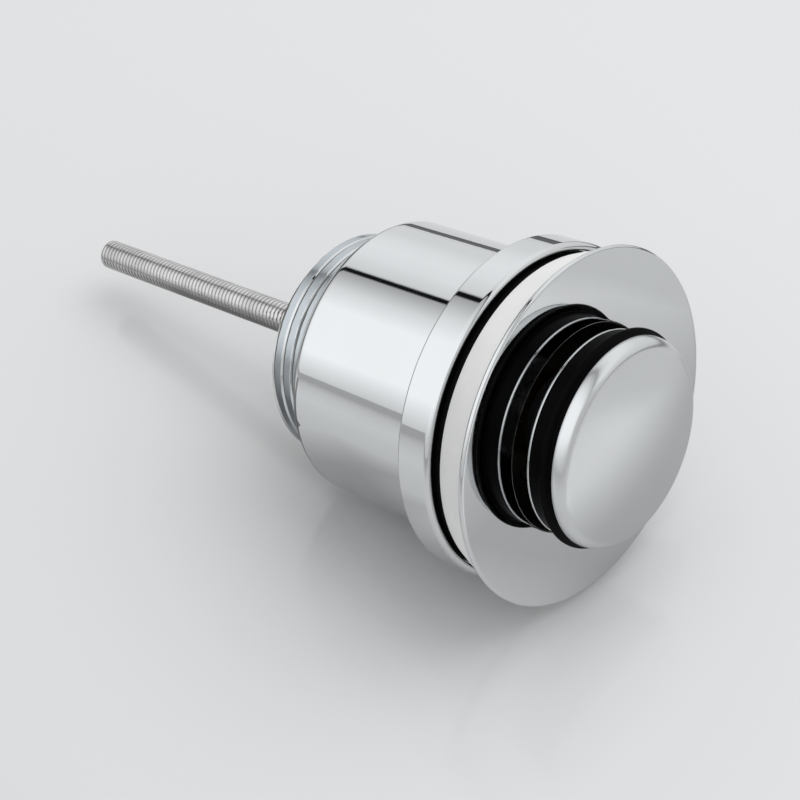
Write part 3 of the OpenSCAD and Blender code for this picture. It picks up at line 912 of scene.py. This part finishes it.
class WASTE_OT_lower_body(bpy.types.Operator):
    """Build the lower body with its outlet thread, bridge and clamp nut"""

    bl_idname = "waste.lower_body"
    bl_label = "Lower body"

    def execute(self, context):
        s, finish = sizes_mm(context), context.scene.waste_finish
        front, end, collar = end_of("lower_body"), foot_of("lower_body"), end_of("lower_body", 2)
        recess = foot_of("body_gasket")
        collar_back = front - COLLAR_WIDTH
        narrow = s.outlet_bore
        bore_step = s.barrel_back + BORE_STEP_RISE
        thread_start = s.barrel_back - OUTLET_PLAIN_RUN
        profile = filleted([
            (front, RECESS_RADIUS, 0.2), (recess, RECESS_RADIUS, 0.2), (recess, BODY_BORE, 0.3),
            (bore_step, BODY_BORE, 0.8), (bore_step - BODY_BORE + narrow, narrow, 0.8), (end, narrow, 0.3),
            (end, s.outlet_radius - OUTLET_BEVEL, 0.1),
            (end + OUTLET_BEVEL, s.outlet_radius, 0.1, OUTLET_RINGS),
            (thread_start, s.outlet_radius, 0), (s.barrel_back, s.outlet_radius, 0),
            (s.barrel_back, s.barrel_radius, 1.6), (collar_back, s.barrel_radius, 0.15),
            (collar_back, collar, 0.4), (front, collar, 0.9)])
        run_out, run_length = s.barrel_back - OUTLET_RUN_OUT[0], OUTLET_RUN_OUT[1]

        def groove_at(x, r, angle):
            """Share of the full depth along a right-hand helix, fading out at the barrel."""
            phase = np.mod((x - s.thread_phase) / s.outlet_pitch - angle / FULL_TURN, 1.0)
            wave = np.interp(phase, GROOVE_TURNS, GROOVE_DEPTHS) * np.clip((run_out - x) / run_length, 0, 1)
            return np.where((r > narrow + THREAD_WALL) & (r <= s.outlet_radius + ROUNDING), wave, 0)

        def threaded(x, r, angle):
            """Radius cut down by the groove."""
            return r - s.outlet_depth * groove_at(x, r, angle)

        def on_thread(x, r):
            """One on the outlet's outside."""
            outside = (r > narrow + FINISH_WALL) & (r < s.outlet_radius + RADIUS_MARGIN)
            return (x < s.barrel_back + FACE_MARGIN) & outside

        def crest(x, r, angle):
            """One on the thread's crests."""
            return on_thread(x, r) * np.clip(1 - (s.outlet_radius - r) / CREST_WIDTH, 0, 1)

        def inside(x, r, angle):
            """One where painted shade darkens the thread's grooves and the bore."""
            root = np.clip(((s.outlet_radius - r) / s.outlet_depth - PAINTED_ROOT_SHADE_START) / PAINTED_ROOT_SHADE_FADE, 0, 1)
            return np.where(on_thread(x, r), root, r < BODY_BORE + BORE_MARGIN)

        body = revolve(profile, s.around, shape=threaded)
        hub_foot = end + BRIDGE_RISE
        hub_top = hub_foot + BRIDGE_HUB_LENGTH
        pocket = end_of("clamp_nut")
        hub_profile = filleted([
            (hub_foot, BRIDGE_POCKET, 0), (hub_foot, BRIDGE_HUB, 0.5), (hub_top, BRIDGE_HUB, 0.6),
            (hub_top, BRIDGE_BORE, 0.2), (pocket, BRIDGE_BORE, 0), (pocket, BRIDGE_POCKET, 0)])
        hexed = hexagon(ROD_NUT[0] + POCKET_GAP)

        def pocketed(x, r, angle):
            """Radius with the nut's pocket cut down to a hexagon."""
            return np.where(r < BRIDGE_POCKET + POCKET_GAP, hexed(x, r, angle), r)

        hub = revolve(hub_profile, NUT_COLUMNS, shape=pocketed)
        section = box_section(*BRIDGE_ARM, hub_foot + BRIDGE_ARM[0])
        rise = (BRIDGE_HUB - ARM_INTO_HUB, narrow + ARM_INTO_WALL)
        arms = [bar(section, rise, angle) for angle in spread(ARM_PHASE, ARM_COUNT)]
        # The bore attribute marks painted shade in the thread's grooves and the bore; satin marks the plating
        # of the crests
        piece("lower_body_chrome", [body, hub] + arms, "lower_body", material_for("chrome", finish),
              {"satin": crest, "bore": inside})
        clamp = nut(foot_of("clamp_nut"), pocket, *ROD_NUT)
        piece("clamp_nut_steel", [clamp], "clamp_nut", material_for("steel", finish))
        return {"FINISHED"}


class WASTE_OT_rod(bpy.types.Operator):
    """Build the threaded clamp rod and its lock nut"""

    bl_idname = "waste.rod"
    bl_label = "Clamp rod"

    def execute(self, context):
        s, finish = sizes_mm(context), context.scene.waste_finish
        tip, head, radius = foot_of("clamp_rod"), end_of("clamp_rod"), end_of("clamp_rod", 2)
        rings = int((head - tip) / s.rod_pitch * ROD_RINGS)
        path = filleted([
            (tip, 0, 0), (tip, radius - ROD_TIP_BEVEL, 0.1), (tip + ROD_TIP_BEVEL, radius, 0, rings),
            (head - ROD_HEAD_BEVEL, radius, 0), (head, radius - ROD_HEAD_BEVEL, 0), (head, 0, 0)],
            closed=False)

        def groove_at(x, angle):
            """Share of the full depth along a right-hand helix, fading out at both ends."""
            phase = np.mod(x / s.rod_pitch - angle / FULL_TURN, 1.0)
            wave = np.clip((np.abs(phase - 0.5) * 2 - ROD_CREST) / ROD_FLANK, 0, 1)
            fade_in = np.clip((x - tip) / (2 * s.rod_pitch), 0, 1)
            return wave * fade_in * np.clip((head - x) / s.rod_pitch, 0, 1)

        def threaded(x, r, angle):
            """Radius cut down by the groove, off the end faces."""
            return np.where(
                r > radius - ROD_TIP_BEVEL - BORE_MARGIN, r - s.rod_depth * groove_at(x, angle), r)

        rod = revolve(path, ROD_COLUMNS, closed=False, shape=threaded)
        # The groove attribute marks painted shade in the rod's thread grooves
        piece("clamp_rod_steel", [rod], "clamp_rod", material_for("steel", finish),
              {"groove": lambda x, r, angle: groove_at(x, angle)})
        lock = nut(foot_of("rod_lock_nut"), end_of("rod_lock_nut"), *ROD_NUT)
        piece("rod_lock_nut_steel", [lock], "rod_lock_nut", material_for("steel", finish))
        return {"FINISHED"}


class WASTE_OT_cartridge(bpy.types.Operator):
    """Build the push cartridge: sleeve, nut and spring, and finish the pieces inside it"""

    bl_idname = "waste.cartridge"
    bl_label = "Push cartridge"

    def execute(self, context):
        s, finish = sizes_mm(context), context.scene.waste_finish
        foot, top = foot_of("cartridge_sleeve"), end_of("cartridge_sleeve")
        radius = end_of("cartridge_sleeve", 2)
        sleeve = filleted([
            (foot, SLEEVE_BORE, 0.1), (foot, radius, 0.25), (top, radius, 0.3), (top, SLEEVE_BORE, 0.1)])
        piece("cartridge_sleeve_brass", [revolve(sleeve, SLEEVE_COLUMNS)], "cartridge_sleeve",
              material_for("brass", finish))
        under = nut(foot_of("cartridge_nut"), end_of("cartridge_nut"), *SHANK_NUT)
        piece("cartridge_nut_brass", [under], "cartridge_nut", material_for("brass", finish))
        spring_foot, spring_top = foot_of("return_spring"), end_of("return_spring")
        mean = end_of("return_spring", 2) - SPRING_WIRE / 2 - SPRING_GAP
        spring = piece(
            "return_spring_wire", [coil(spring_foot, spring_top, mean, SPRING_WIRE, s.spring_turns)],
            "return_spring", material_for("spring_steel", finish))
        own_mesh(spring)
        inside = {
            "cartridge_bush": "black_plastic", "stem_o_ring": "black_rubber", "cam_sleeve": "acetal",
            "cartridge_base": "brass", "plug_stem": "steel", "plunger": "acetal", "stem_clip": "spring_steel",
            "rotor": "acetal"}
        for name, slot in inside.items():
            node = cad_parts[name]
            node.data.materials.clear()
            node.data.materials.append(material_for(slot, finish))
        return {"FINISHED"}


# The waste lies on its barrel's back edge, so the floor under it slopes against the axis
FLOOR_TILT = math.radians(10.5)
FLOOR_DROP = 0.03181
CAMERA_PLACE = (0.17197, -0.17440, 0.18304)
CAMERA_RIGHT = (0.72496, 0.66133, -0.19255)
CAMERA_DOWN = (0.28119, -0.53935, -0.79374)
CAMERA_AHEAD = (-0.62878, 0.52129, -0.57697)
CAMERA_LENS = 80.91
SENSOR_WIDTH = 36.0
CLIP_START = 0.01
SOFTBOX_SIZE = 0.8
SOFTBOX_ENERGY = 2.7
SOFTBOX_AIM = (0.4, 0.32, 0.86)
SOFTBOX_DISTANCE = 0.8
# Brightness of the studio round the X axis: degrees from level on the camera side, up and over, and the value
STUDIO_BANDS = [
    (-180, 0.92), (-90, 0.6), (4, 0.8), (12, 1.0), (28, 1.42), (68, 1.40), (84, 1.08), (100, 0.56),
    (101.2, 0.01), (104.6, 0.01), (105.6, 0.98), (121, 1.15), (134, 1.19), (146, 1.13),
    (158, 0.99), (180, 0.9)]
# Brightness for matte surfaces: softer, and stronger from behind
FILL_BANDS = [(-180, 0.8), (-90, 0.5), (0, 0.66), (60, 0.88), (120, 1.08), (150, 1.04), (180, 0.8)]
# Painted shade and painted light on the floor that only mirrors show, in metres: reach along X and Y,
# brightness, width of the soft edges and slant of the ends
PAINTED_FLOOR_SHADE_AND_GLOW = [
    # Painted dark band behind the waste, for a dark line in its reflections
    dict(x=(-2.0, 2.0), y=(0.24, 0.60), level=0.004, soft=0.0005, slant=0.0),
    # Painted darker floor towards the camera, for the table's edge in reflections
    dict(x=(-2.9, 2.9), y=(-2.9, -0.12), level=0.34, soft=0.3, slant=0.0),
    # Painted shadow under the rod
    dict(x=(-0.2, -0.068), y=(-0.055, -0.028), level=0.12, soft=0.0005, slant=0.0),
    # Painted shadow under the rod's root
    dict(x=(-0.107, -0.026), y=(-0.075, 0.006), level=0.2, soft=0.012, slant=0.893),
    # Painted shade for the lower side of the outlet thread
    dict(x=(-0.075, -0.045), y=(-0.32, -0.022), level=0.12, soft=0.005, slant=0.893),
    # Painted contact shadow under the barrel
    dict(x=(-0.067, -0.022), y=(-0.064, -0.014), level=0.43, soft=0.02, slant=0.0),
    # Painted contact shadow in front of the flange and plug
    dict(x=(-0.02, 0.055), y=(-0.014, 0.12), level=0.44, soft=0.018, slant=0.0),
    # Painted glow beyond the plug, which brightens the cap's reflection
    dict(x=(0.055, 0.17), y=(-0.05, 0.08), level=0.84, soft=0.02, slant=0.0)]
FLOOR_REACH = 3.0
# Floor: shade of its clouds, range of its roughness, roughness of the painted shade and glow that mirrors see
# and their faint grain
FLOOR_SHADE = 0.985
FLOOR_ROUGH = (0.10, 0.14)
PAINTED_PATCH_ROUGH = 0.5
PAINTED_PATCH_GRAIN = 0.9
LEAST_COVER = 0.001
# Matte surfaces get more light from the plug's end
FILL_SLOPE = 0.45
# Dark wall towards the rod's end that only mirrors show: where it is full and where it starts along a
# ray's X, and its brightness
END_WALL = (-0.86, -0.705)
END_WALL_LEVEL = 0.06
# Mirrors that look more closely along the axis see a plain end: where it starts, where it is full, and its
# brightness
PLAIN_END = (0.88, 0.94)
PLAIN_END_LEVEL = 0.9
BACKDROP = (0.80, 0.805, 0.81)
SKY_TINT = (0.985, 0.995, 1.0)


def banded_sky(n, turn, bands, along):
    """Background whose brightness follows the bands round the X axis, times the factor along that axis."""
    ramp = n.add("ShaderNodeValToRGB", {"Fac": n.span(turn, -math.pi, math.pi, 0.0, 1.0)})
    stops = ramp.color_ramp.elements
    while len(stops) < len(bands):
        stops.new(0.5)
    strongest = max(value for _, value in bands)
    for stop, (degrees, value) in zip(stops, bands):
        stop.position = (degrees + 180) / 360
        stop.color = (*shaded(SKY_TINT, value / strongest), 1.0)
    strength = n.math("MULTIPLY", strongest, along)
    return n.add("ShaderNodeBackground", {"Color": ramp.outputs["Color"], "Strength": strength}).outputs[0]


def studio_world():
    """World whose brightness depends on the angle round the X axis; the camera sees a plain backdrop."""
    world = bpy.data.worlds.new("Studio")
    world.use_nodes = True
    n = Nodes(world.node_tree)
    for node in list(n.tree.nodes):
        n.tree.nodes.remove(node)
    ray = n.add("ShaderNodeTexCoord").outputs["Generated"]
    parts = n.add("ShaderNodeSeparateXYZ", {"Vector": ray}).outputs
    turn = n.math("ARCTAN2", parts["Z"], n.math("MULTIPLY", parts["Y"], -1.0))
    path = n.add("ShaderNodeLightPath").outputs
    end_wall = n.span(parts["X"], *END_WALL, END_WALL_LEVEL, 1.0)
    at_end = n.span(n.math("ABSOLUTE", parts["X"]), *PLAIN_END, 0.0, 1.0)
    sideways = n.span(parts["X"], -1.0, 1.0, 1.0 - FILL_SLOPE, 1.0 + FILL_SLOPE)
    backdrop = (*BACKDROP, 1.0)
    plain = n.add("ShaderNodeBackground", {"Color": backdrop, "Strength": 1.0}).outputs[0]
    end = n.add("ShaderNodeBackground", {"Color": backdrop, "Strength": PLAIN_END_LEVEL}).outputs[0]
    bright = banded_sky(n, turn, STUDIO_BANDS, end_wall)
    fill = banded_sky(n, turn, FILL_BANDS, sideways)
    mirrored = n.add("ShaderNodeMixShader", {0: at_end, 1: bright, 2: end})
    lit = n.add("ShaderNodeMixShader", {0: path["Is Diffuse Ray"], 1: mirrored.outputs[0], 2: fill})
    both = n.add("ShaderNodeMixShader", {0: path["Is Camera Ray"], 1: lit.outputs[0], 2: plain})
    n.add("ShaderNodeOutputWorld", {"Surface": both.outputs[0]})
    return world


def floor_height(x):
    """Height of the floor under x."""
    return -(FLOOR_DROP + x * math.sin(FLOOR_TILT)) / math.cos(FLOOR_TILT)


def sheet(name, corners):
    """Flat sheet with four corners."""
    mesh = bpy.data.meshes.new(name)
    mesh.from_pydata(corners, [], [(0, 1, 2, 3)])
    made = bpy.data.objects.new(name, mesh)
    bpy.context.scene.collection.objects.link(made)
    return made


def painted_patch_mask(n, at, x, y, soft, slant):
    """One inside an area of the floor, falling to nothing at its edges.

    The area's ends slant along Y about its largest Y.
    """
    shift = n.math("MULTIPLY", n.math("SUBTRACT", at["Y"], y[1]), slant)
    along = n.math("SUBTRACT", at["X"], shift)
    from_ends = n.math("MINIMUM", n.math("SUBTRACT", along, x[0]), n.math("SUBTRACT", x[1], along))
    from_sides = n.math("MINIMUM", n.math("SUBTRACT", at["Y"], y[0]), n.math("SUBTRACT", y[1], at["Y"]))
    return n.span(n.math("MINIMUM", from_ends, from_sides), 0.0, soft, 0.0, 1.0)


def floor_material(colour):
    """Pale glossy floor; only mirrors see the painted shadows, dark bands and glow listed above on it, each
    laid over the ones before it.
    """
    material, n, skin = new_material("Floor")
    place = n.add("ShaderNodeTexCoord").outputs["Object"]
    cloud = n.noise(place, 3.0, 2.0, 0.5)
    n.tree.links.new(n.mix(cloud, colour, shaded(colour, FLOOR_SHADE)), skin.inputs["Base Color"])
    n.tree.links.new(n.span(cloud, 0.3, 0.7, *FLOOR_ROUGH), skin.inputs["Roughness"])
    at = n.add("ShaderNodeSeparateXYZ", {"Vector": place}).outputs
    light = 0.0
    cover = 0.0
    for painted_patch in PAINTED_FLOOR_SHADE_AND_GLOW:
        mask = painted_patch_mask(n, at, painted_patch["x"], painted_patch["y"], painted_patch["soft"], painted_patch["slant"])
        clear = n.math("SUBTRACT", 1.0, mask)
        added = n.math("MULTIPLY", mask, painted_patch["level"])
        light = n.math("ADD", n.math("MULTIPLY", light, clear), added)
        cover = n.math("ADD", n.math("MULTIPLY", cover, clear), mask)
    grey = n.math("DIVIDE", light, n.math("MAXIMUM", cover, LEAST_COVER))
    grain = n.span(n.noise(place, 6.0), 0.0, 1.0, 1.0, PAINTED_PATCH_GRAIN)
    paint = n.add("ShaderNodeBsdfPrincipled", {
        "Base Color": n.math("MULTIPLY", grey, grain), "Roughness": PAINTED_PATCH_ROUGH})
    # Only glossy rays see the painted shade and glow, so the chrome reflects them while the camera sees the
    # plain floor
    mirrored = n.math("MULTIPLY", cover, n.add("ShaderNodeLightPath").outputs["Is Glossy Ray"])
    both = n.add("ShaderNodeMixShader", {0: mirrored, 1: skin.outputs[0], 2: paint.outputs[0]})
    n.tree.links.new(both.outputs[0], n.tree.nodes["Material Output"].inputs["Surface"])
    return material


class WASTE_OT_stage(bpy.types.Operator):
    """Build the floor, the light and the camera"""

    bl_idname = "waste.stage"
    bl_label = "Studio"

    def execute(self, context):
        finish = context.scene.waste_finish
        reach = FLOOR_REACH
        corners = ((-reach, -reach), (reach, -reach), (reach, reach), (-reach, reach))
        floor = sheet("floor", [(x, y, floor_height(x)) for x, y in corners])
        floor.data.materials.append(floor_material(finish.floor))
        data = bpy.data.lights.new("softbox", "AREA")
        data.shape = "DISK"
        data.size = SOFTBOX_SIZE
        data.energy = SOFTBOX_ENERGY
        softbox = bpy.data.objects.new("softbox", data)
        aim = Vector(SOFTBOX_AIM)
        facing = aim.to_track_quat("Z", "Y").to_matrix().to_4x4()
        softbox.matrix_world = Matrix.Translation(aim * SOFTBOX_DISTANCE) @ facing
        softbox.visible_glossy = False
        context.scene.collection.objects.link(softbox)
        lens = bpy.data.cameras.new("camera")
        lens.lens = CAMERA_LENS
        lens.sensor_width = SENSOR_WIDTH
        lens.clip_start = CLIP_START
        camera = bpy.data.objects.new("camera", lens)
        up, behind = -Vector(CAMERA_DOWN), -Vector(CAMERA_AHEAD)
        turn = Matrix((CAMERA_RIGHT, up, behind)).transposed()
        camera.matrix_world = Matrix.Translation(CAMERA_PLACE) @ turn.to_4x4()
        context.scene.collection.objects.link(camera)
        context.scene.camera = camera
        context.scene.world = studio_world()
        context.scene.view_settings.view_transform = "Standard"
        return {"FINISHED"}


class WASTE_PT_panel(bpy.types.Panel):
    """Sidebar with the sizes, the finishes and the build steps"""

    bl_idname = "WASTE_PT_panel"
    bl_label = "Basin waste"
    bl_space_type = "VIEW_3D"
    bl_region_type = "UI"
    bl_category = "Waste"

    def draw(self, context):
        groups = ((WasteSizes, context.scene.waste_sizes), (WasteFinish, context.scene.waste_finish))
        for kind, group in groups:
            column = self.layout.column()
            for key in kind.__annotations__:
                column.prop(group, key)
        for step in STEPS:
            self.layout.operator(step.bl_idname)


STEPS = (
    WASTE_OT_flange, WASTE_OT_gaskets, WASTE_OT_plug, WASTE_OT_lower_body, WASTE_OT_rod, WASTE_OT_cartridge,
    WASTE_OT_stage)
CLASSES = (WasteSizes, WasteFinish) + STEPS + (WASTE_PT_panel,)


def register():
    """Adds the classes and the scene's two groups of settings."""
    for made in CLASSES:
        bpy.utils.register_class(made)
    bpy.types.Scene.waste_sizes = PointerProperty(type=WasteSizes)
    bpy.types.Scene.waste_finish = PointerProperty(type=WasteFinish)


def unregister():
    """Takes out what register added."""
    del bpy.types.Scene.waste_finish
    del bpy.types.Scene.waste_sizes
    for made in reversed(CLASSES):
        bpy.utils.unregister_class(made)


def main():
    """Runs every step in order."""
    register()
    for step in (
            bpy.ops.waste.flange, bpy.ops.waste.gaskets, bpy.ops.waste.plug, bpy.ops.waste.lower_body,
            bpy.ops.waste.rod, bpy.ops.waste.cartridge, bpy.ops.waste.stage):
        step()


if __name__ == "__main__":
    main()
